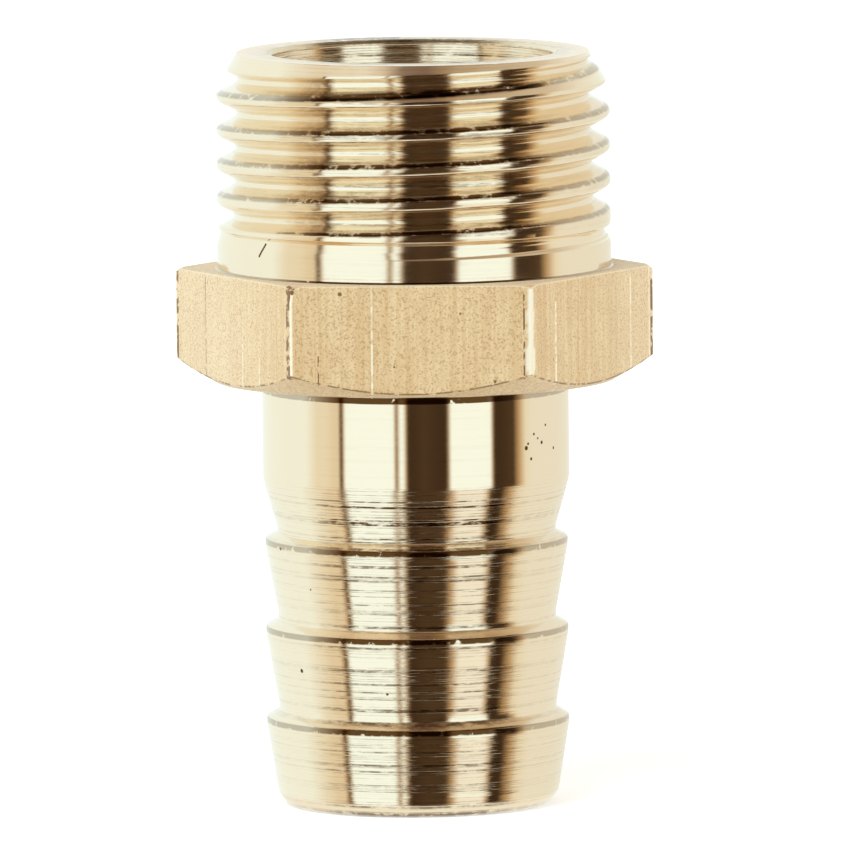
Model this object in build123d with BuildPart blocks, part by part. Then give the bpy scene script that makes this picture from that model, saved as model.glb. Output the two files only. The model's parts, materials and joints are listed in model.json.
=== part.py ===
from build123d import *
from math import atan, cos, degrees, radians, tan
import os

# A brass hose tail, turned in one piece from hexagonal bar. Millimetres, +Z up. The origin
# is the centre of the hose end's face: the tail stands on it, with its pipe thread on top.

# Hose end: a rounded nose, three barbs and a plain neck.
neck_r = 8.17
neck_length = 5.26
neck_taper_length = 2.82    # from the neck down to the root above the upper barb
barb_crest_r = 8.06
barb_root_r = 7.40
barb_lengths = (4.72, 4.50, 4.32)  # lower end of each to its crest, the nose barb first
barb_land = 0.40            # short cylinder along each crest
barb_shoulder = 0.36        # height of the sloped step above each crest
nose_face_r = 6.55
nose_r = 7.57               # where the nose's rounding runs into the first barb's slope
nose_height = 1.30

# Hexagon for a spanner, its corners turned off on a cone: a little above, more below.
across_flats = 22.0
hex_height = 6.0
hex_chamfer_angle = 30.0
upper_chamfer_r = 12.32
lower_chamfer_r = 10.62

# Blank for the thread: a collar on the hexagon, a shallow relief, then a parallel blank of
# the thread's major size with a lead-in cone at its end.
threaded_length = 11.45     # hexagon to end face
collar_r = 10.49
collar_length = 1.25
relief_r = 10.26
relief_length = 0.75        # slopes from the collar in to the relief
relief_step = 0.22          # and out again to the thread
lead_in_r = 9.37
lead_in_angle = 30.0

# Pipe thread, 1/2 inch, 14 turns to the inch, right-handed. The roots slope 1 in 16 on the
# diameter, so the groove gets shallower towards the collar, where the tool runs out.
thread_r = 10.4775
thread_pitch = 25.4 / 14
thread_depth = 1.162        # at the end face
root_taper = 1 / 16
flank_angle = 27.5
root_flat = 0.30
full_thread = 8.64          # of the threaded length, to where the run-out starts
runout_turns = 0.8
crest_drop = 3.65           # end face down to a crest at the front, which is -Y

# Bore: drilled through from the hose end, and opened out from the threaded end.
hose_bore_r = 6.0
thread_bore_r = 7.5
thread_bore_depth = 14.0
drill_point_angle = 59.0
mouth_chamfer = 0.20

# Heights of the main faces above the hose end's face.
crest_heights = [sum(barb_lengths[: i + 1]) + i * barb_shoulder for i in range(3)]
neck_bottom = crest_heights[-1] + barb_shoulder + neck_taper_length
hex_bottom = neck_bottom + neck_length
hex_top = hex_bottom + hex_height
end_face = hex_top + threaded_length

# Cutters start this far clear of the metal.
clear = 1.0
groove_clear = 0.25         # the groove's section, outside the thread's crests
runout_clear = 0.05         # the run-out's start, outside them

# The root's helix, in two edges: in from outside the blank over the run-out, then up the
# taper and past the end face. A helix starts on +X, so each is turned about Z to its place:
# at the front the root stands half a pitch below the crest that crest_drop gives.
front = -90.0
root_r_low = thread_r - thread_depth + full_thread * root_taper / 2
full_bottom = end_face - full_thread
front_root = end_face - crest_drop - thread_pitch / 2
full_start = front + 360 * (full_bottom - front_root) / thread_pitch
overrun = 1.3 * thread_pitch
runout_height = runout_turns * thread_pitch
runout_r = thread_r + runout_clear
runout_angle = degrees(atan((runout_r - root_r_low) / runout_height))
taper_angle = degrees(atan(root_taper / 2))
with BuildLine() as runout_helix:
    Helix(
        pitch=thread_pitch / cos(radians(runout_angle)),
        height=runout_height,
        radius=runout_r,
        center=(0, 0, full_bottom - runout_height),
        cone_angle=-runout_angle,
    )
with BuildLine() as full_helix:
    Helix(
        pitch=thread_pitch / cos(radians(taper_angle)),
        height=full_thread + overrun,
        radius=root_r_low,
        center=(0, 0, full_bottom),
        cone_angle=-taper_angle,
    )
with BuildLine() as root_helix:
    add(runout_helix.line.rotate(Axis.Z, full_start - 360 * runout_turns))
    add(full_helix.line.rotate(Axis.Z, full_start))

with BuildPart() as hose_tail:
    # Hexagon, with its corners turned off.
    with BuildSketch(Plane.XY.offset(hex_bottom)):
        RegularPolygon(radius=across_flats / 2, side_count=6, major_radius=False)
    extrude(amount=hex_height)
    corner_r = across_flats / 2 / cos(radians(30))
    outer_r = max(corner_r, upper_chamfer_r, lower_chamfer_r) + clear
    chamfer_slope = tan(radians(hex_chamfer_angle))
    with BuildSketch(Plane.XZ):
        with BuildLine():
            Polyline(
                (0, hex_bottom),
                (lower_chamfer_r, hex_bottom),
                (outer_r, hex_bottom + (outer_r - lower_chamfer_r) * chamfer_slope),
                (outer_r, hex_top - (outer_r - upper_chamfer_r) * chamfer_slope),
                (upper_chamfer_r, hex_top),
                (0, hex_top),
                close=True,
            )
        make_face()
    revolve(mode=Mode.INTERSECT)

    # Blank for the thread, left long until the thread is cut.
    blank_end = end_face + overrun + thread_pitch
    relief_bottom = hex_top + collar_length
    relief_top = relief_bottom + relief_length
    with BuildSketch(Plane.XZ):
        with BuildLine():
            Polyline(
                (0, hex_bottom),
                (thread_bore_r, hex_bottom),
                (collar_r, hex_top),
                (collar_r, relief_bottom),
                (relief_r, relief_top),
                (thread_r, relief_top + relief_step),
                (thread_r, blank_end),
                (0, blank_end),
                close=True,
            )
        make_face()
    revolve()

    # Thread groove: a 55 degree vee with a flat root, cut along the helix in one pass.
    path = root_helix.wire()
    start = path @ 0
    cut_depth = thread_depth + groove_clear
    groove_half_width = root_flat / 2 + cut_depth * tan(radians(flank_angle))
    with BuildSketch(Plane(start, x_dir=(start.X, start.Y, 0), z_dir=path % 0)):
        with BuildLine():
            Polyline(
                (0, -root_flat / 2),
                (0, root_flat / 2),
                (cut_depth, groove_half_width),
                (cut_depth, -groove_half_width),
                close=True,
            )
        make_face()
    sweep(path=path, is_frenet=True, mode=Mode.SUBTRACT)

    # The end faced to length, with the lead-in cone that runs the thread out to nothing.
    outside_r = thread_r + clear
    with BuildSketch(Plane.XZ):
        with BuildLine():
            Polyline(
                (0, end_face),
                (lead_in_r, end_face),
                (outside_r, end_face - (outside_r - lead_in_r) / tan(radians(lead_in_angle))),
                (outside_r, blank_end + clear),
                (0, blank_end + clear),
                close=True,
            )
        make_face()
    revolve(mode=Mode.SUBTRACT)

    # Hose end: each barb widens from its root to a crest, then steps in to the next root.
    # The nose is an arc that carries on the first barb's slope.
    with BuildSketch(Plane.XZ):
        with BuildLine():
            slope_top = barb_lengths[0] - barb_land
            down_slope = (nose_r - barb_crest_r, nose_height - slope_top)
            TangentArc((nose_r, nose_height), (nose_face_r, 0), tangent=down_slope)
            points = [(nose_r, nose_height)]
            for crest in crest_heights:
                points += [
                    (barb_crest_r, crest - barb_land),
                    (barb_crest_r, crest),
                    (barb_root_r, crest + barb_shoulder),
                ]
            points += [
                (neck_r, neck_bottom),
                (neck_r, hex_bottom + clear),
                (0, hex_bottom + clear),
                (0, 0),
                (nose_face_r, 0),
            ]
            Polyline(*points)
        make_face()
    revolve()

    # Stepped bore.
    step = (thread_bore_r - hose_bore_r) / tan(radians(drill_point_angle))
    bore_bottom = end_face - thread_bore_depth
    with BuildSketch(Plane.XZ):
        with BuildLine():
            Polyline(
                (0, -clear),
                (hose_bore_r, -clear),
                (hose_bore_r, bore_bottom - step),
                (thread_bore_r, bore_bottom),
                (thread_bore_r, end_face - mouth_chamfer),
                (thread_bore_r + mouth_chamfer + clear, end_face + clear),
                (0, end_face + clear),
                close=True,
            )
        make_face()
    revolve(mode=Mode.SUBTRACT)

os.makedirs("parts", exist_ok=True)
hose_tail.part.label = "hose_tail"
export_step(hose_tail.part, "parts/hose_tail.step")
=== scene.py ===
import json
import math
import bmesh
import bpy
import numpy as np
from mathutils import Matrix, Vector


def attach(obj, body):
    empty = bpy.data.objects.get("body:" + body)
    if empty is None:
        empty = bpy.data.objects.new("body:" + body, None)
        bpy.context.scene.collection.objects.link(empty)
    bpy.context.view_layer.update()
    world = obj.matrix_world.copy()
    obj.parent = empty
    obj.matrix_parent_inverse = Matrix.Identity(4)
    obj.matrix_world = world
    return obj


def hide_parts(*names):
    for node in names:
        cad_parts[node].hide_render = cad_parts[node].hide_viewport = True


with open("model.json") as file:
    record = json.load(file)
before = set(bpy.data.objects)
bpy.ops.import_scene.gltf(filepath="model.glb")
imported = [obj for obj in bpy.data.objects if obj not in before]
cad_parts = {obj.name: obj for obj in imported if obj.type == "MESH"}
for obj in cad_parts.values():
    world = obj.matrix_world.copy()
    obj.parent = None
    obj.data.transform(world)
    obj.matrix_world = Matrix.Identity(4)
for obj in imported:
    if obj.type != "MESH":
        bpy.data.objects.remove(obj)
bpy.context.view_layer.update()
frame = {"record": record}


# ---------------------------------------------------------------------------
# The bar: hexagonal free-cutting brass, drawn to 22 mm across its flats. Only a short
# length of it is left as the spanner hexagon, with its drawn skin on the flats and a
# turned chamfer above and below. Sizes are in millimetres up to the finished mesh.
# ---------------------------------------------------------------------------
mounts = {m["name"]: m for m in frame["record"]["mounts"]}
front_flat = mounts["spanner_flat_front"]["pos_m"]
flat_radius = -front_flat[1] * 1000                     # half of the size across flats
hex_top = mounts["hex_shoulder"]["pos_m"][2] * 1000
hex_bottom = 2 * front_flat[2] * 1000 - hex_top
lower_chamfer_radius = 10.62
upper_chamfer_radius = 12.32
chamfer_slope = math.tan(math.radians(30))
edge_break = 0.08
corner_rounding = np.array([0.16, 0.14, 0.18, 0.14, 0.09, 0.40])    # at 0, 60 ... 300 degrees
flat_to_corner = math.radians(30)
solid_dark_wear = 12.0            # wear so far past 1 that the darkening's ragged noise leaves few gaps; it draws solid dark lines, most of them painted shade

# The mesh is rows round the axis, each with its own radius, height and wear in every column.
# The columns crowd towards the six corners, and the last one lies on the first, a turn later.
columns_per_flat = 44
across = np.arange(columns_per_flat) / columns_per_flat * 2 - 1
crowded = 30 * (0.1 * across + 0.9 * np.sin(math.pi * across / 2))
azimuth = np.append((30 + 60 * np.arange(6)[:, None] + crowded).ravel(), 360.0)
wrapped = np.append(azimuth[:-1], azimuth[0])
turn = np.radians(azimuth)
columns = len(azimuth)
bend_rows = 5


def flowing(points, cut, worn=0.0):
    """Rows (r, z, wear) along a profile with its corners rounded. A corner P between sides becomes
    the curve (1-t)^2 A + 2t(1-t) P + t^2 B, where A and B lie on the two sides, cut away from P,
    and the wear on it is worn * sin(pi t)."""
    corner = np.array([[np.broadcast_to(value, columns) for value in point] for point in points], float)
    cut, worn = (np.broadcast_to(amount, len(points) - 2)[:, None, None] for amount in (cut, worn))
    side = np.diff(corner, axis=0)
    length = np.maximum(np.hypot(side[:, 0], side[:, 1]), 1e-9)[:, None]
    before = corner[1:-1] - side[:-1] / length[:-1] * np.minimum(cut, 0.45 * length[:-1])
    after = corner[1:-1] + side[1:] / length[1:] * np.minimum(cut, 0.45 * length[1:])
    t = np.linspace(0, 1, bend_rows)[None, :, None, None]
    before, apex, after = before[:, None], corner[1:-1, None], after[:, None]
    bend = (1 - t) ** 2 * before + 2 * t * (1 - t) * apex + t ** 2 * after
    wear = np.broadcast_to(worn[..., None] * np.sin(math.pi * t), (*bend.shape[:2], 1, columns))
    bend = np.concatenate([bend, wear], 2).reshape(-1, 3, columns)
    first, last = (np.append(corner[k], np.zeros((1, columns)), 0)[None] for k in (0, -1))
    return np.concatenate([first, bend, last])


def divided(rows, first, parts):
    """The same rows with the run after row number first divided evenly: P + (Q - P) k / parts."""
    k = np.arange(1, parts)[:, None, None] / parts
    between = rows[first] + (rows[first + 1] - rows[first]) * k
    return np.concatenate([rows[:first + 1], between, rows[first + 1:]])


nearest_corner = ((wrapped + 30) // 60).astype(int) % 6
rounding_here = corner_rounding[nearest_corner]
off_corner = np.radians(np.abs((wrapped + 30) % 60 - 30))
wear_fade = 0.05


def bar_outline(rounding):
    """The bar's radius round the axis: flat / cos(30 - a) on a flat, and on a rounded corner
    p cos(a) + sqrt(rounding^2 - p^2 sin(a)^2), where a is the angle off the corner and p how far the
    rounding's centre is from the axis. And its wear: 1 on the rounding, gone within wear_fade."""
    centre = (flat_radius - rounding) / math.cos(flat_to_corner)
    arc_end = np.arctan2(rounding / 2, centre + rounding * math.cos(flat_to_corner))
    bulge = np.sqrt(np.maximum(rounding ** 2 - (centre * np.sin(off_corner)) ** 2, 0))
    on_flat = flat_radius / np.cos(flat_to_corner - off_corner)
    radius = np.where(off_corner < arc_end, centre * np.cos(off_corner) + bulge, on_flat)
    return radius, np.clip(1 - (off_corner - arc_end) * flat_radius / wear_fade, 0, 1)


bar_radius = bar_outline(rounding_here)[0]
neck_radius = mounts["hose_neck"]["dims"]["r_mm"]
collar_radius = mounts["thread_collar"]["dims"]["r_mm"]
upper_edge = np.minimum(upper_chamfer_radius, bar_radius - edge_break)
lower_height = hex_bottom + (bar_radius - lower_chamfer_radius) * chamfer_slope
upper_height = hex_top - (bar_radius - upper_edge) * chamfer_slope
fillet_run = 0.30           # how far the neck's and the collar's first rows stand off the hexagon
hexagon = flowing([
    (neck_radius, hex_bottom - fillet_run),
    (neck_radius, hex_bottom),
    (lower_chamfer_radius, hex_bottom),
    (bar_radius, lower_height),
    (bar_radius, upper_height),
    (upper_edge, hex_top),
    (collar_radius, hex_top),
    (collar_radius, hex_top + fillet_run),
# The first corner's solid dark line, at the neck's top, is painted shadow of the hexagon; the last gives
# the collar's foot a solid dark line; the others darken or bare edges a little.
], cut=[0.06, 0.10, 0.09, 0.06, 0.05, 0.10], worn=[solid_dark_wear, -0.8, -1.0, 0.5, 0.4, -solid_dark_wear])
hexagon[:bend_rows - 1, 2] = solid_dark_wear          # painted shadow of the hexagon: a dark line all round where the neck begins
flat_parts = 14
underside_end, flat_first = 2 * bend_rows, 3 * bend_rows
flat_last = flat_first + flat_parts
ledge_end = flat_last + 2 * bend_rows
hexagon = divided(hexagon, flat_first, flat_parts)

# The corner at 300 degrees is knocked about, so its rounding swells and shrinks with height and
# is larger lower down. The corner at 240 degrees has one nick near its top.
is_knocked = rounding_here > 0.3
nick_at, nick_spread, nick_depth = (240.3, hex_top - 0.45), (0.7, 0.22), 0.16
for row in hexagon[flat_first:flat_last + 1]:
    height = row[1].mean()
    knocks = 1 + 0.22 * math.sin(2.6 * height + 0.9) + 0.16 * math.sin(6.1 * height)
    knocks *= 1.25 - 0.1 * (height - hex_bottom)
    row[0], wear = bar_outline(rounding_here * np.where(is_knocked, knocks, 1.0))
    row[2] = np.maximum(row[2], wear)
    sideways, upright = (wrapped - nick_at[0]) / nick_spread[0], (row[1] - nick_at[1]) / nick_spread[1]
    row[0] -= nick_depth * np.exp(-sideways ** 2 - upright ** 2)


def linear(hex_colour):
    """The linear colour of an sRGB hex value: ((c + 0.055) / 1.055) ^ 2.4 above 0.04045."""
    c = np.array([int(hex_colour[i:i + 2], 16) for i in (0, 2, 4)]) / 255
    return (*np.where(c > 0.04045, ((c + 0.055) / 1.055) ** 2.4, c / 12.92).tolist(), 1.0)


def add(tree, kind, inputs=(), stops=(), **settings):
    """One shader node with its settings, each input a plain value, a socket, or a node whose first
    output it takes."""
    made = tree.nodes.new("ShaderNode" + kind)
    for name, value in settings.items():
        setattr(made, name, value)
    for name, value in dict(inputs).items():
        if isinstance(value, bpy.types.Node):
            value = value.outputs[0]
        if isinstance(value, bpy.types.NodeSocket):
            tree.links.new(value, made.inputs[name])
        else:
            made.inputs[name].default_value = value
    for i, (place, colour) in enumerate(stops):
        ramp = made.color_ramp.elements
        stop = ramp[i] if i < 2 else ramp.new(place)
        stop.position, stop.color = place, colour
    return made


def started(name):
    """A new material with its tree, its output and the place on the object in millimetres."""
    material = bpy.data.materials.new(name)
    material.use_nodes = True
    tree = material.node_tree
    tree.nodes.clear()
    where = add(tree, "TexCoord").outputs["Object"]
    mm = add(tree, "VectorMath", {0: where, 1: (1000, 1000, 1000)}, operation="MULTIPLY")
    return material, tree, mm


def with_pits(tree, mm, amount, pits):
    """The amount raised to 1 inside each pit, a ball of the radius given last round its centre."""
    for *centre, size in pits:
        away = add(tree, "VectorMath", {0: mm, 1: centre}, operation="DISTANCE").outputs["Value"]
        hole = add(tree, "MapRange", {"Value": away, "From Min": size, "From Max": size * 1.4,
                                      "To Min": 1.0, "To Max": 0.0})
        amount = add(tree, "Math", {0: amount, 1: hole}, operation="MAXIMUM")
    return amount


def marked(tree, mm, marks):
    """1 on the marks: where the place across the flat is within half the width of the mark's, the
    height is between its ends, and the flat is the one that it lies on; 0 elsewhere."""
    covered = 0.0
    height = add(tree, "SeparateXYZ", {0: mm}).outputs["Z"]
    for facing, sideways, low, high, half_width in marks:
        x, y = math.cos(math.radians(facing)), math.sin(math.radians(facing))
        across = add(tree, "VectorMath", {0: mm, 1: (-y, x, 0)}, operation="DOT_PRODUCT")
        outward = add(tree, "VectorMath", {0: mm, 1: (x, y, 0)}, operation="DOT_PRODUCT")
        on_line = add(tree, "Math", {0: across.outputs["Value"], 1: sideways, 2: half_width},
                      operation="COMPARE")
        on_flat = add(tree, "Math", {0: outward.outputs["Value"], 1: flat_radius - 0.2},
                      operation="GREATER_THAN")
        in_reach = add(tree, "Math", {0: height, 1: (low + high) / 2, 2: (high - low) / 2},
                       operation="COMPARE")
        here = add(tree, "Math", {0: on_line, 1: on_flat}, operation="MULTIPLY")
        here = add(tree, "Math", {0: here, 1: in_reach}, operation="MULTIPLY")
        covered = add(tree, "Math", {0: covered, 1: here}, operation="MAXIMUM")
    return covered


# The marks on the flats, scrapes bare and other marks brown: the direction that the flat faces in
# degrees, then in millimetres the mark's place across the flat, its two ends and its half width.
scrapes = [(270, -2.07, 22.6, 29.0, 0.050), (210, 1.05, 22.6, 25.2, 0.050),
           (210, 2.90, 22.9, 24.6, 0.040), (330, -3.85, 22.6, 27.6, 0.070),
           (330, 3.95, 23.4, 28.4, 0.060), (330, 5.90, 22.8, 28.6, 0.050),
           (90, 1.60, 22.6, 29.0, 0.055), (30, -2.40, 23.5, 28.0, 0.060), (150, 3.10, 22.6, 26.5, 0.050)]
brown_marks = [(210, 6.08, 22.8, 28.8, 0.190), (270, 5.95, 22.6, 28.6, 0.045),
          (270, -4.90, 23.2, 25.0, 0.035), (210, -3.00, 22.9, 29.0, 0.025),
          (210, -6.14, 22.8, 28.8, 0.120), (330, 6.14, 23.2, 28.2, 0.120),
          (90, -6.10, 23.0, 28.4, 0.050)]
skin_pits = [(-3.74, -11, 28.27, 0.09), (-6.28, -11, 28.35, 0.12), (-6.20, -11, 28.62, 0.10),
             (-0.90, -11, 24.40, 0.05), (2.60, -11, 27.20, 0.05), (4.40, -11, 23.60, 0.07),
             (-4.80, -11, 23.10, 0.08)]

# Cold-drawn brass: a matte skin the colour of dry sand, with a grain of brown specks and faint
# lines along the bar from the die. Towards the left and right it is painted paler, a painted
# highlight for light from there.
skin_pale, skin_tan, skin_painted_lit = linear("EED6AB"), linear("E0C08F"), linear("FBEBCB")
skin_dark, skin_bare, skin_brown = linear("AC7440"), linear("FBF3DC"), linear("8A6238")
drawn_skin, tree, mm = started("drawn_bar_skin_brass")
lengthwise = add(tree, "VectorMath", {0: mm, 1: (4.2, 4.2, 0.10)}, operation="MULTIPLY")
die_lines = add(tree, "TexNoise", {"Vector": lengthwise, "Scale": 1.0, "Detail": 3.0})
blotches = add(tree, "TexNoise", {"Vector": mm, "Scale": 0.55, "Detail": 2.0})
grain = add(tree, "TexNoise", {"Vector": mm, "Scale": 10.5, "Detail": 3.0, "Roughness": 0.65})
on_line = add(tree, "MapRange", {"Value": die_lines, "From Min": 0.40, "From Max": 0.70})
on_blotch = add(tree, "MapRange", {"Value": blotches, "From Min": 0.35, "From Max": 0.65, "To Max": 0.5})
# Painted highlight: the skin is paler from 7.8 mm to either side of a line 1.5 mm right of the middle.
painted_side_light = add(tree, "Math", {0: add(tree, "SeparateXYZ", {0: mm}), 1: 1.5}, operation="SUBTRACT")
painted_side_light = add(tree, "Math", {0: painted_side_light}, operation="ABSOLUTE")
painted_side_light = add(tree, "MapRange", {"Value": painted_side_light, "From Min": 7.8, "From Max": 11.5, "To Max": 0.45})
on_speck = add(tree, "MapRange", {"Value": grain, "From Min": 0.48, "From Max": 0.68, "To Max": 0.62},
               interpolation_type="SMOOTHSTEP")
skin = add(tree, "MixRGB", {"Fac": on_line, "Color1": skin_pale, "Color2": skin_tan})
skin = add(tree, "MixRGB", {"Fac": on_blotch, "Color1": skin, "Color2": skin_tan})
skin = add(tree, "MixRGB", {"Fac": painted_side_light, "Color1": skin, "Color2": skin_painted_lit})
skin = add(tree, "MixRGB", {"Fac": on_speck, "Color1": skin, "Color2": skin_dark})

# Where the skin is worn through or scraped, the metal is pale and smoother. Where the wear is
# below zero, on the brown marks and in the pits, the skin is brown in broken dashes.
wear = add(tree, "Attribute", attribute_name="wear").outputs["Fac"]
breaks = add(tree, "TexNoise", {"Vector": mm, "Scale": 2.6, "Detail": 2.0})
uneven = add(tree, "MapRange", {"Value": breaks, "From Min": 0.38, "From Max": 0.56, "To Min": 0.35})
dashed = add(tree, "MapRange", {"Value": breaks, "From Min": 0.44, "From Max": 0.52})
bare = add(tree, "Math", {0: marked(tree, mm, scrapes), 1: uneven}, operation="MULTIPLY")
bare = add(tree, "Math", {0: wear, 1: bare}, operation="MAXIMUM")
brown_amount = add(tree, "Math", {0: wear, 1: -1.0}, operation="MULTIPLY")
brown_amount = add(tree, "Math", {0: brown_amount, 1: marked(tree, mm, brown_marks)}, operation="MAXIMUM")
brown_amount = add(tree, "Math", {0: dashed, 1: brown_amount}, operation="MULTIPLY")
brown_amount = with_pits(tree, mm, brown_amount, skin_pits)
skin = add(tree, "MixRGB", {"Fac": bare, "Color1": skin, "Color2": skin_bare})
skin = add(tree, "MixRGB", {"Fac": brown_amount, "Color1": skin, "Color2": skin_brown})
rough = add(tree, "MapRange", {"Value": bare, "To Min": 0.55, "To Max": 0.42})
bumps = add(tree, "Math", {0: grain, 1: die_lines}, operation="ADD")
relief = add(tree, "Bump", {"Height": bumps, "Strength": 0.8, "Distance": 0.00001})
shade = add(tree, "BsdfPrincipled", {"Base Color": skin, "Metallic": 0.35, "Roughness": rough,
                                     "Normal": relief, "Sheen Weight": 0.3, "Sheen Roughness": 0.5})
add(tree, "OutputMaterial", {"Surface": shade})


# ---------------------------------------------------------------------------
# The barbed stem: turned with a form tool, three barbs whose shoulders stop a hose from
# sliding back, a rounded nose that opens it, and a plain neck that the clamp sits on.
# ---------------------------------------------------------------------------
bore_edge_radius = 6.15
nose_face_radius = mounts["hose_end_face"]["pos_m"][0] * 1000 + 0.28     # the mount is mid-face
nose_radius, nose_height = 7.57, 1.30
crest, root = 8.06, 7.40
crest_heights = 4.72, 9.58, 14.26
land, shoulder, root_land = 0.40, 0.36, 0.30
cone_start, cone_start_radius = 14.92, root + 0.05
neck_start, neck_end = 17.44, hex_bottom - 0.60

# The nose is a quarter of an ellipse, r = face + (nose - face) sin(fall), z = height (1 - cos(fall)).
fall = np.radians(np.array([8, 26, 44, 62, 80]))
nose = np.stack([nose_face_radius + (nose_radius - nose_face_radius) * np.sin(fall),
                 nose_height * (1 - np.cos(fall))], 1)
stem_profile = [(bore_edge_radius, 0), (nose_face_radius, 0), *nose, (nose_radius, nose_height)]
for top in crest_heights:
    stem_profile += [(crest, top - land), (crest, top), (root, top + shoulder),
                     (root, top + shoulder + root_land)]
stem_profile[-1] = (cone_start_radius, cone_start)
stem_profile += [(neck_radius, neck_start), (neck_radius, neck_end)]
nose_cuts, barb_cuts, cone_cuts = [0.05] * 6 + [0.25], [0.10, 0.12, 0.10, 0.20], [0.30]
stem = flowing(stem_profile, cut=nose_cuts + barb_cuts * len(crest_heights) + cone_cuts)

# The nose is darker brown low down, where the tail stands, and a thin dark line of painted shade
# lies just under each barb's crest.
nose_dark_height, line_drop, line_fade = 0.20, 0.06, 0.0065
stem[:, 2] = np.clip(1.8 - stem[:, 1] / nose_dark_height, 0, 1)
for top in crest_heights:
    off_line = np.abs(stem[:, 1] - (top - line_drop))
    stem[:, 2] = np.maximum(stem[:, 2], np.clip(solid_dark_wear + 1 - off_line / line_fade, 0, solid_dark_wear))

brass, shade_and_soil_brown = linear("F7E6CC"), linear("5E3E20")


def turned_brass(name, depth, chatter, roughness, strengths=((0, 1.0), (40, 1.0)), drawn_out=0.0,
                 radial=False, upward=0.0, pits=()):
    """Free-cutting brass, turned: bright, with rings from the tool's feed, brown painted shade in the
    deeper ones, brown on the edges that the wear attribute marks, most of it painted shade, and
    brown soil in pits. A ring is a groove where noise along v alone is high, v being the height, or
    with radial the distance from the axis. Depth is the rings', strengths say by height how strong
    rings and chatter are, drawn_out is how far a reflection spreads across the rings, and upward
    how much the shading leans up."""
    material, tree, mm = started(name)
    split = add(tree, "SeparateXYZ", {0: mm})
    across = add(tree, "VectorMath", {0: mm, 1: (1, 1, 0)}, operation="MULTIPLY")
    radius = add(tree, "VectorMath", {0: across}, operation="LENGTH").outputs["Value"]
    v = radius if radial else split.outputs["Z"]
    worked = add(tree, "MapRange", {"Value": split.outputs["Z"], "From Max": 40.0})
    worked = add(tree, "ValToRGB", {"Fac": worked},
                 stops=[(height / 40, (amount, amount, amount, 1)) for height, amount in strengths])

    coarse = add(tree, "TexNoise", {"W": v, "Scale": 2.7, "Detail": 3.0, "Roughness": 0.7},
                 noise_dimensions="1D")
    coarse = add(tree, "MapRange", {"Value": coarse, "From Min": 0.545, "From Max": 0.60},
                 interpolation_type="SMOOTHSTEP")
    fine = add(tree, "TexNoise", {"W": v, "Scale": 9.0, "Detail": 1.0}, noise_dimensions="1D")
    fine = add(tree, "MapRange", {"Value": fine, "From Min": 0.50, "From Max": 0.68, "To Max": 0.4},
               interpolation_type="SMOOTHSTEP")
    ring = add(tree, "Math", {0: coarse, 1: fine}, operation="MAXIMUM")
    ring = add(tree, "Math", {0: ring, 1: worked}, operation="MULTIPLY")

    # Chatter is noise drawn out round the axis. It lifts the surface and varies its gloss.
    stretched = add(tree, "VectorMath", {0: mm, 1: (0.6, 0.6, 0.4 if radial else 8.0)},
                    operation="MULTIPLY")
    streak = add(tree, "TexNoise", {"Vector": stretched, "Scale": 1.0, "Detail": 3.0, "Roughness": 0.6})
    rumble = add(tree, "Math", {0: worked, 1: chatter}, operation="MULTIPLY")
    rumble = add(tree, "Math", {0: rumble, 1: chatter * 0.15}, operation="ADD")
    ripple = add(tree, "Math", {0: streak, 1: rumble}, operation="MULTIPLY")
    surface = add(tree, "Math", {0: ring, 1: -depth, 2: ripple}, operation="MULTIPLY_ADD")
    facing = add(tree, "NewGeometry").outputs["Normal"]
    facing = add(tree, "VectorMath", {0: facing, 1: (0, 0, upward)}, operation="ADD")
    relief = add(tree, "Bump", {"Height": surface, "Strength": 1.0, "Distance": 0.00001,
                                "Normal": facing})
    rough = add(tree, "MapRange", {"Value": streak, "From Min": 0.3, "From Max": 0.7,
                                   "To Min": roughness * 0.8, "To Max": roughness * 1.2})

    # Painted shade in the rings is broken up by noise, and it thins towards the left and right sides.
    ahead = add(tree, "Math", {0: split.outputs["Y"]}, operation="ABSOLUTE")
    ahead = add(tree, "Math", {0: ahead, 1: radius}, operation="DIVIDE")
    ahead = add(tree, "MapRange", {"Value": ahead, "From Min": 0.70, "From Max": 0.88, "To Min": 0.15})
    broken = add(tree, "VectorMath", {0: mm, 1: (1.3, 1.3, 5.0)}, operation="MULTIPLY")
    broken = add(tree, "TexNoise", {"Vector": broken, "Scale": 1.0, "Detail": 3.0, "Roughness": 0.65})
    broken = add(tree, "MapRange", {"Value": broken, "From Min": 0.36, "From Max": 0.58, "To Min": 0.08})
    ring_shade = add(tree, "Math", {0: ring, 1: broken}, operation="MULTIPLY")
    ring_shade = add(tree, "Math", {0: ring_shade, 1: ahead}, operation="MULTIPLY")

    # Darkening on the edges follows the wear, whatever its sign, is ragged, and less than half at the
    # sides. Most of it is painted shade: the line under the hexagon, the lines by the crests and the
    # stretch on the thread's walls.
    worn = add(tree, "Attribute", attribute_name="wear").outputs["Fac"]
    worn = add(tree, "Math", {0: worn}, operation="ABSOLUTE")
    ragged = add(tree, "VectorMath", {0: mm, 1: (1.6, 1.6, 1.6)}, operation="MULTIPLY")
    ragged = add(tree, "TexNoise", {"Vector": ragged, "Scale": 1.0, "Detail": 4.0, "Roughness": 0.7})
    ragged = add(tree, "MapRange", {"Value": ragged, "From Min": 0.33, "From Max": 0.52, "To Max": 0.9})
    edge_dark = add(tree, "Math", {0: worn, 1: ragged}, operation="MULTIPLY", use_clamp=True)
    edge_share = add(tree, "MapRange", {"Value": ahead, "From Min": 0.15, "To Min": 0.45})
    edge_dark = add(tree, "Math", {0: edge_dark, 1: edge_share}, operation="MULTIPLY")
    brown_amount = add(tree, "Math", {0: ring_shade, 1: edge_dark}, operation="MAXIMUM")
    brown_amount = with_pits(tree, mm, brown_amount, pits)

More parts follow.
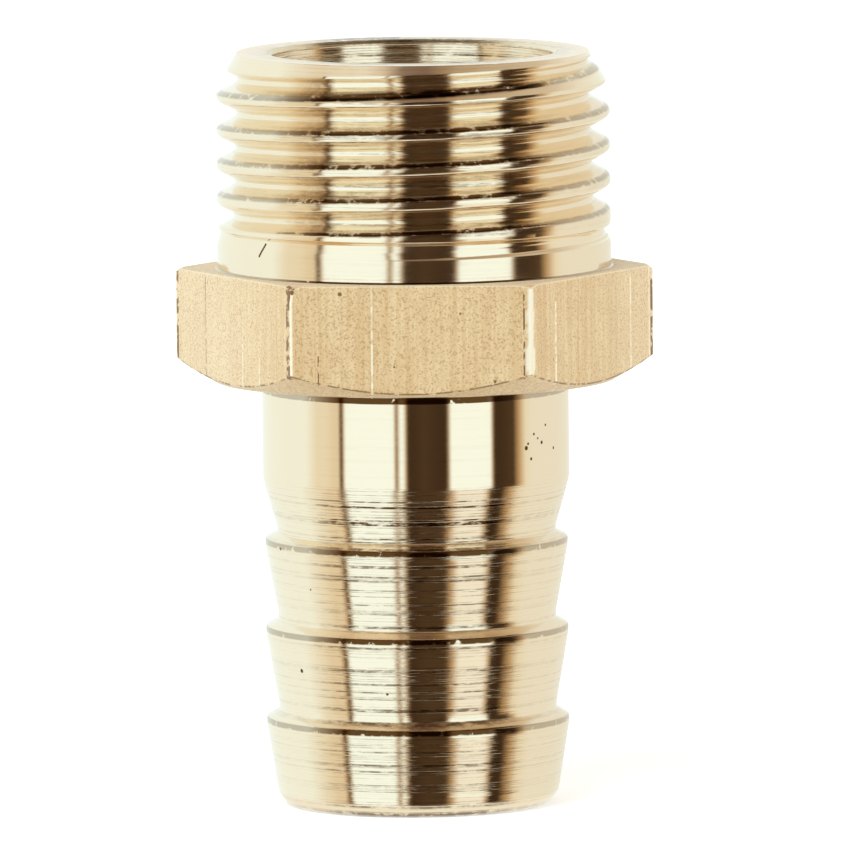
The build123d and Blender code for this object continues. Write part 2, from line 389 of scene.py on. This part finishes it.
    tint = add(tree, "MixRGB", {"Fac": brown_amount, "Color1": brass, "Color2": shade_and_soil_brown})
    lay = add(tree, "Tangent", direction_type="RADIAL", axis="Z")
    shade = add(tree, "BsdfPrincipled", {"Base Color": tint, "Metallic": 1.0, "Roughness": rough,
                                         "Normal": relief, "Anisotropic": drawn_out,
                                         "Anisotropic Rotation": 0.25, "Tangent": lay})
    add(tree, "OutputMaterial", {"Surface": shade})
    return material


# The stem's rings and chatter are strong on the barbs and strongest on the cone, and the neck is
# nearly a mirror, with a few dark pits. The faces cut across the bar are duller.
stem_pits = [(-6.03, -4.87, 7.64, 0.10), (-1.50, -7.55, 6.64, 0.09), (-5.60, -5.43, 12.0, 0.08),
             (-7.15, -3.72, 14.02, 0.07), (5.95, -5.60, 19.5, 0.10), (6.20, -5.32, 18.9, 0.07),
             (6.75, -4.60, 19.7, 0.08), (6.95, -4.29, 20.6, 0.06), (6.35, -5.14, 20.2, 0.06),
             (6.05, -5.50, 19.72, 0.06), (6.55, -4.88, 19.95, 0.05), (7.35, -3.55, 19.3, 0.07)]
stem_strengths = [(0, 0.8), (14.5, 0.8), (15.2, 1.2), (17.0, 1.2), (17.7, 0.04), (22.5, 0.03)]
turned_stem = turned_brass("turned_stem_brass", 0.35, 0.9, 0.10, stem_strengths, 0.8, pits=stem_pits)
faced = turned_brass("faced_brass", 0.3, 0.8, 0.24, radial=True)


# ---------------------------------------------------------------------------
# The thread: a 1/2 inch pipe thread, 14 turns to the inch, cut with a die on a blank with a
# plain collar below and a chamfered start, so its groove runs out just above the collar.
# The mesh's rows climb with the thread, and the last column meets the first a pitch higher.
# ---------------------------------------------------------------------------
pitch = 25.4 / 14
thread_radius = mounts["male_thread"]["dims"]["r_mm"]
end_height = mounts["thread_end_face"]["pos_m"][2] * 1000
thread_depth = 1.162
taper = 1 / 32
flank = math.tan(math.radians(27.5))
root_half, root_softness = 0.15, 0.03
crest_rounding, lead_in_rounding = 0.36, 0.09
runout_start, runout_slope = 31.51, 0.649
front_groove = 35.593       # where a groove's centre passes the front
collar_top, runout_step, rows_start = 29.95, 0.05, 30.95
burrs_start, burr = 31.2, 0.003

# The blank: the collar, the relief cone, the thread's full width, the lead-in cone.
lead_in_start, lead_in_end_radius = 38.232, 9.37
blank_heights = [collar_top, 30.70, 30.92, lead_in_start, end_height]
blank_radii = [collar_radius, 10.26, thread_radius, thread_radius, lead_in_end_radius]
from_front = turn - 1.5 * math.pi
climb = front_groove + pitch * from_front / (2 * math.pi)
# Painted shade on the thread's walls: how dark, by bearing from the front in degrees, left negative.
shade_bearings, shade_amounts = [-42, -28, -26.5, -25], [0, 0.5, 0.5, 0]


def blank(z):
    """The radius before threading: straight lines between the heights and radii above."""
    return np.interp(z, blank_heights, blank_radii)


def root_radius(centre):
    """The groove's radius at its centre: it rises 1 in 32 towards the collar, then runs out."""
    tapered = thread_radius - thread_depth + (end_height - centre) * taper
    return tapered + runout_slope * np.maximum(0, runout_start - centre)


def soft_least(a, b, k):
    """The lesser of a and b, rounded where they cross: min(a, b) - (k - |a - b|)^2 / 4k."""
    return np.minimum(a, b) - np.maximum(k - np.abs(a - b), 0) ** 2 / (4 * k)


def threaded(z):
    """The row (r, z, wear) at height z. The blank is cut by the groove at z = climb + pitch n, whose
    walls rise from a rounded root at 27.5 degrees. The crests are rounded, less so on the lead-in
    cone, and carry a little burr, a sum of sines. The wear draws painted shade: a dark line just
    above each crest, and on the walls one narrow dark stretch on the left of the front."""
    n = np.round((z - climb) / pitch)
    radius = blank(z)
    rounding = np.interp(z, [38.4, 39.2], [crest_rounding, lead_in_rounding])
    for centre in (climb + pitch * (n - 1), climb + pitch * n, climb + pitch * (n + 1)):
        out = np.abs(z - centre) - root_half
        wall = root_radius(centre) + (out + np.sqrt(out ** 2 + root_softness ** 2)) / 2 / flank
        radius = soft_least(radius, wall, rounding)
    sunk = blank(z) - radius
    burred = z > burrs_start
    ragged = np.sin(23 * turn + 5 * z) + np.sin(41 * turn - 9 * z + 1) + np.sin(67 * turn + 13 * z + 2)
    radius += burr * ragged * np.clip(1 - sunk / 0.10, 0, 1) * burred

    # Painted shade: a dark line just above each crest.
    above_crest = ((z - climb) / pitch < n) * burred
    crest_shade = np.clip((sunk - 0.015) / 0.05, 0, 1) * np.clip((0.32 - sunk) / 0.14, 0, 1) * above_crest
    # Painted shade on the walls, in one narrow stretch left of the front.
    wall_shade = np.interp(np.degrees(from_front), shade_bearings, shade_amounts)
    walls = np.clip(sunk / 0.3, 0, 1) * np.clip((thread_depth - sunk) / 0.3, 0, 1)
    return np.stack([radius, z, np.maximum(2 * crest_shade, wall_shade * walls)])


# Each groove has a row at its centre and others on both sides of it: two on the root, five up the
# wall and four over the crest, the last at its middle. A wall's edge, where it meets the blank,
# is found by setting edge = root_half + (blank at the edge - root) * flank again and again.
wall_places, crest_places = (0.15, 0.40, 0.65, 0.85, 0.96), (0.08, 0.25, 0.60)
edge_tries = 8
thread_heights = []
for n in range(-4, 4):
    centre = climb + pitch * n
    deep = root_radius(centre)
    for way in (-1, 1):
        edge = np.full_like(centre, 0.6)
        for _ in range(edge_tries):
            edge = root_half + (blank(centre + way * edge) - deep) * flank
            edge = np.clip(edge, 0.16, pitch / 2 - 0.02)
        offsets = [root_half * 0.6, root_half]
        offsets += [root_half + (edge - root_half) * place for place in wall_places]
        offsets += [edge + (pitch / 2 - edge) * place for place in crest_places]
        heights = [centre + way * offset for offset in offsets]
        thread_heights += heights[::-1] if way == -1 else [centre, *heights, centre + pitch / 2]
rim_band = 0.03             # the topmost band, level all round
thread_heights = np.clip(thread_heights, rows_start, end_height - rim_band)
runout_heights = np.arange(collar_top, rows_start, runout_step)[:, None] + np.zeros(columns)
thread_heights = np.concatenate([runout_heights, thread_heights, np.full((1, columns), end_height)])
thread = np.stack([threaded(z) for z in thread_heights])
collar = np.zeros((3, 3, columns))
collar[:, 0] = collar_radius
collar[:, 1] = np.array([29.05, 29.40, 29.85])[:, None]

# The threaded end is turned like the stem, bright on the collar and with stronger rings on the
# thread. It has a pit and, on the left, a slanted scratch, which is a short run of pits.
scratch_pits = 6
thread_pits = [(0.75, -10.4, 31.6, 0.10)]
for k in range(scratch_pits):
    height, bearing = 29.92 + 0.12 * k, math.radians(219.8 + 0.35 * k)
    radius = blank(height)
    thread_pits.append((radius * math.cos(bearing), radius * math.sin(bearing), height, 0.065))
thread_strengths = [(28.9, 0.3), (29.2, 0.02), (30.6, 0.05), (31.4, 0.5), (38.0, 0.5), (38.6, 0.25),
                    (40.0, 0.25)]
turned_thread = turned_brass("threaded_brass", 0.3, 0.9, 0.12, thread_strengths, 0.6, pits=thread_pits)


# ---------------------------------------------------------------------------
# The bore: drilled right through for the hose's bore, then drilled larger from the
# threaded end, with the drill's cone between the two and a broken edge at each mouth.
# ---------------------------------------------------------------------------
thread_bore_radius = mounts["thread_bore"]["dims"]["r_mm"]
hose_bore_radius = mounts["hose_bore"]["dims"]["r_mm"]
bore_step, drill_point = 26.15, math.radians(31)
cone_end = bore_step - (thread_bore_radius - hose_bore_radius) * math.tan(drill_point)
mouth_break, faced_depth = 0.2, 0.3
end_face = flowing([
    (thread[-1, 0], end_height),
    (thread_bore_radius + mouth_break, end_height),
    (thread_bore_radius, end_height - mouth_break),
    (thread_bore_radius, end_height - faced_depth),
], cut=0.05, worn=0.8)[1:-1]
end_face[0, 2] = 1.0
bore = flowing([
    (thread_bore_radius, end_height - faced_depth),
    (thread_bore_radius, bore_step),
    (hose_bore_radius, cone_end),
    (hose_bore_radius, 10.0),
    (hose_bore_radius, bore_edge_radius - hose_bore_radius),
    (bore_edge_radius, 0.0),
], cut=0.08)[:-1]

# The drilled brass has deep rings, and its shading leans upwards, towards the open mouth's light.
bored = turned_brass("bored_brass", 0.4, 1.0, 0.16, drawn_out=0.8, upward=0.15)


# ---------------------------------------------------------------------------
# The finished tail: all its rows in one closed mesh, from the hose end's bore out over the
# nose, up the outside, over the threaded end and back down the bore.
# ---------------------------------------------------------------------------
finishes = [drawn_skin, turned_stem, faced, turned_thread, bored]
bands = [
    (stem, turned_stem),
    (hexagon[:underside_end], faced),
    (hexagon[underside_end:ledge_end], drawn_skin),
    (hexagon[ledge_end:], turned_thread),
    (collar, turned_thread),
    (thread, turned_thread),
    (end_face, faced),
    (bore, bored),
]
rows = np.concatenate([band for band, finish in bands])
finish_of_row = np.concatenate([np.full(len(band), finishes.index(finish)) for band, finish in bands])
radius, height, wear = rows[:, 0], rows[:, 1], rows[:, 2]
angle = np.radians(wrapped)
vertices = np.stack([radius * np.cos(angle), radius * np.sin(angle), height], -1) * 0.001

# A row's faces reach to the next row, and the last row's to the first, which closes the mesh.
row_start = np.arange(len(rows))[:, None] * columns
next_start = np.roll(row_start, -1, axis=0)
column = np.arange(columns - 1)[None, :]
quads = [row_start + column, row_start + column + 1, next_start + column + 1, next_start + column]
quads = np.stack(quads, -1).reshape(-1, 4)
mesh = bpy.data.meshes.new("hose_tail_turned")
mesh.from_pydata(vertices.reshape(-1, 3), [], quads)
mesh.attributes.new("wear", "FLOAT", "POINT").data.foreach_set("value", wear.ravel())
mesh.polygons.foreach_set("material_index", np.repeat(finish_of_row, columns - 1).astype(np.int32))
mesh.polygons.foreach_set("use_smooth", np.ones(len(quads), bool))
for finish in finishes:
    mesh.materials.append(finish)

# Vertices in one place become one. The edge round the end face is sharp, so that the face shades
# flat up to it.
same_place = 3e-8
work = bmesh.new()
work.from_mesh(mesh)
bmesh.ops.remove_doubles(work, verts=work.verts, dist=same_place)
bmesh.ops.dissolve_degenerate(work, edges=work.edges, dist=same_place)
rim_height, inside_rim = (end_height - 0.001) / 1000, (thread_bore_radius + 0.4) / 1000
for edge in work.edges:
    edge.smooth = not all(v.co.z > rim_height and v.co.xy.length > inside_rim for v in edge.verts)
work.to_mesh(mesh)
work.free()
tail = bpy.data.objects.new("hose_tail_turned", mesh)
bpy.context.scene.collection.objects.link(tail)
even = tail.modifiers.new("even_shading", "WEIGHTED_NORMAL")
even.keep_sharp = True
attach(tail, "root")
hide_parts("hose_tail")


# ---------------------------------------------------------------------------
# The floor: a plain white table under the tail, which only takes its soft shadow.
# ---------------------------------------------------------------------------
half = 6.0                  # metres
floor_mesh = bpy.data.meshes.new("floor")
floor_corners = [(-half, -half, 0), (half, -half, 0), (half, half, 0), (-half, half, 0)]
floor_mesh.from_pydata(floor_corners, [], [(0, 1, 2, 3)])
floor = bpy.data.objects.new("floor", floor_mesh)
bpy.context.scene.collection.objects.link(floor)
floor.visible_glossy = False

# White matte table: to the camera it glows a little, which lifts it to white around the shadow.
white_table = bpy.data.materials.new("white_table")
white_table.use_nodes = True
tree = white_table.node_tree
tree.nodes.clear()
matte = add(tree, "BsdfDiffuse", {"Color": (0.9, 0.9, 0.9, 1)})
glow = add(tree, "Emission", {"Color": (1, 1, 1, 1), "Strength": 0.40})
lifted = add(tree, "AddShader", {0: glow, 1: matte})
to_camera = add(tree, "LightPath").outputs["Is Camera Ray"]
add(tree, "OutputMaterial", {"Surface": add(tree, "MixShader", {0: to_camera, 1: matte, 2: lifted})})
floor_mesh.materials.append(white_table)


# ---------------------------------------------------------------------------
# The light: a white room with tall dark cards in it, which the brass mirrors as stripes. The
# room is a map and not built. What lies in a direction depends on the middle direction, halfway
# between it and a fixed one towards the camera: its azimuth finds the card and its elevation
# the set of cards, so that stripes run upright on a turned surface, however it slopes.
# ---------------------------------------------------------------------------
elevation, swing, roll = 5.9, 1.0, 0.5          # the camera's, in degrees
toward_camera = Vector((math.sin(math.radians(swing)) * math.cos(math.radians(elevation)),
                        -math.cos(math.radians(swing)) * math.cos(math.radians(elevation)),
                        math.sin(math.radians(elevation))))

# Linear colours: the lit walls of the room, the edges of the cards, and the cards.
cool, cream, clear = (1.03, 1.20, 1.24), (0.96, 1.07, 1.06), (1.0, 1.0, 1.0)
pale, plain, sand = (0.96, 0.98, 0.91), (0.95, 0.96, 0.88), (0.88, 0.895, 0.82)
warm, tan, dim = (0.87, 0.84, 0.69), (0.82, 0.73, 0.55), (0.62, 0.46, 0.30)
rust, russet = (0.55, 0.37, 0.19), (0.20, 0.12, 0.06)
brown, umber, black = (0.075, 0.045, 0.023), (0.048, 0.027, 0.013), (0.045, 0.026, 0.014)

# What upright surfaces mirror, by azimuth in degrees, twice the middle direction's from the camera.
cards = [(-180, cream), (-91, cream), (-80, warm), (-72, warm), (-64, tan), (-60, tan),
         (-58.6, brown), (-57.4, brown), (-56, rust), (-54.4, cool), (-16.8, cool), (-15.2, rust),
         (-14.2, russet), (-13.2, rust), (-12.0, cool), (-9.0, cool), (-7.5, rust), (-5.8, umber),
         (6, brown), (23.4, umber), (24.8, rust), (26.4, cool), (58.2, cool), (59.8, rust),
         (61.2, umber), (79, brown), (84.5, rust), (91, warm), (98, sand), (165, sand), (180, cream)]

# What the barbs and the neck's cone mirror, which lean down, and how it sets in by elevation.
low_cards = [(-180, cream), (-98, cream), (-77, warm), (-70, tan), (-62, tan), (-59.4, rust),
             (-57.8, brown), (-56.6, brown), (-55.4, rust), (-53.6, cool), (-17.6, cool), (-16, rust),
             (-14.9, russet), (-13.6, rust), (-12.2, cool), (-11.4, cool), (-9.2, rust), (-6.8, umber),
             (6, brown), (22, brown), (27, rust), (32, pale), (53, pale), (56.5, rust), (58.5, umber),
             (68, umber), (76, rust), (84, warm), (95, sand), (165, sand), (180, cream)]
low_share = [(-90, 0), (-24, 0), (-20, 1), (-7, 1), (-4, 0), (90, 0)]

# What the lead-in cone mirrors, which leans up: pale on the left, dark in front, tan on the right.
high_cards = [(-180, cream), (-95, cream), (-62, (0.83, 0.785, 0.667)), (-30, (0.86, 0.85, 0.75)),
              (-18, (0.72, 0.63, 0.51)), (-7, (0.27, 0.20, 0.15)), (10, (0.23, 0.16, 0.12)),
              (20, (0.38, 0.28, 0.18)), (28, (0.47, 0.36, 0.24)), (60, (0.59, 0.50, 0.37)),
              (90, (0.69, 0.62, 0.50)), (120, sand), (180, cream)]
high_share = [(-90, 0), (25.5, 0), (27.5, 1), (41, 1), (42.5, 0), (90, 0)]

# A dark bar high up, which rounded edges mirror between upright and level, and its reach.
bar = [(-90, clear), (38, clear), (41.5, dim), (43, black), (52, black), (55, dim),
       (60, (0.94, 0.92, 0.88)), (90, (0.96, 0.94, 0.90))]
bar_reach = [(-180, 0.04), (-100, 0.06), (-72, 0.25), (-58, 0.95), (66, 0.95), (84, 0.30),
             (110, 0.1), (180, 0.05)]

# Steeply up and steeply down there is only the plain pale room.
plain_share = [(-90, 1), (-31, 1), (-23, 0), (66, 0), (74, 1), (90, 1)]

room = bpy.data.worlds.new("studio")
bpy.context.scene.world = room
room.use_nodes = True
tree = room.node_tree
tree.nodes.clear()
toward = add(tree, "TexCoord").outputs["Generated"]
middle = add(tree, "VectorMath", {0: toward, 1: toward_camera}, operation="ADD")
middle = add(tree, "VectorMath", {0: middle}, operation="NORMALIZE")
part = add(tree, "SeparateXYZ", {0: middle})
forward = add(tree, "Math", {0: part.outputs["Y"], 1: -1.0}, operation="MULTIPLY")
side = add(tree, "Math", {0: part.outputs["X"], 1: forward}, operation="ARCTAN2")
place = add(tree, "Math", {0: side, 1: 1 / math.pi, 2: 0.5 - swing / 180}, operation="MULTIPLY_ADD")
rise = add(tree, "MapRange", {"Value": part.outputs["Z"], "From Min": -1.0, "From Max": 1.0})


def ramp_stop(position, colour):
    """A ramp's stop at a position from 0 to 1, its colour three values or one plain amount."""
    return position, (*np.broadcast_to(colour, 3).tolist(), 1)


def around(stops):
    """A ramp over the azimuth a in degrees, which the ramp has at (a + 180) / 360."""
    return add(tree, "ValToRGB", {"Fac": place}, stops=[ramp_stop((a + 180) / 360, c) for a, c in stops])


def upwards(stops):
    """A ramp over the elevation e in degrees, which the ramp has at (sin e + 1) / 2."""
    return add(tree, "ValToRGB", {"Fac": rise},
               stops=[ramp_stop((math.sin(math.radians(e)) + 1) / 2, c) for e, c in stops])


lit = add(tree, "MixRGB", {"Fac": upwards(low_share), "Color1": around(cards),
                           "Color2": around(low_cards)})
lit = add(tree, "MixRGB", {"Fac": upwards(high_share), "Color1": lit, "Color2": around(high_cards)})
lit = add(tree, "MixRGB", {"Fac": around(bar_reach), "Color1": lit, "Color2": upwards(bar)},
          blend_type="MULTIPLY")
lit = add(tree, "MixRGB", {"Fac": upwards(plain_share), "Color1": lit, "Color2": (*plain, 1)})
studio = add(tree, "Background", {"Color": lit, "Strength": 1.0})
backdrop = add(tree, "Background", {"Color": (1, 1, 1, 1), "Strength": 1.0})
to_camera = add(tree, "LightPath").outputs["Is Camera Ray"]
add(tree, "OutputWorld", {"Surface": add(tree, "MixShader", {0: to_camera, 1: studio, 2: backdrop})})


# Two large soft lamps, high on the left and lower on the right, light what is matte: the bar's
# skin and the floor. The brass does not mirror them.
for name, watts, wide, at in (("soft_lamp", 14.0, 1.2, (-0.55, -0.95, 1.15)),
                              ("side_lamp", 6.0, 1.0, (1.05, -0.35, 0.55))):
    lamp_data = bpy.data.lights.new(name, "AREA")
    lamp_data.shape, lamp_data.size, lamp_data.energy = "DISK", wide, watts
    lamp = bpy.data.objects.new(name, lamp_data)
    bpy.context.scene.collection.objects.link(lamp)
    lamp.matrix_world = Matrix.Translation(at) @ Vector(at).to_track_quat("Z", "Y").to_matrix().to_4x4()
    lamp.visible_glossy = False
    lamp.visible_camera = False


# ---------------------------------------------------------------------------
# The camera: far off and a little above the hexagon, square to the front flat.
# ---------------------------------------------------------------------------
aim = Vector((0.00050, 0, 0.02019))
distance, picture_width = 1.05, 0.04522
camera_data = bpy.data.cameras.new("camera")
camera_data.sensor_width = 36
camera_data.lens = camera_data.sensor_width / picture_width * distance
camera_data.clip_start, camera_data.clip_end = 0.1, 10
camera = bpy.data.objects.new("camera", camera_data)
bpy.context.scene.collection.objects.link(camera)
stand = Matrix.Translation(aim + toward_camera * distance)
turned_to_aim = (-toward_camera).to_track_quat("-Z", "Y").to_matrix().to_4x4()
camera.matrix_world = stand @ turned_to_aim @ Matrix.Rotation(math.radians(-roll), 4, "Z")
bpy.context.scene.camera = camera
bpy.context.scene.view_settings.view_transform = "Standard"
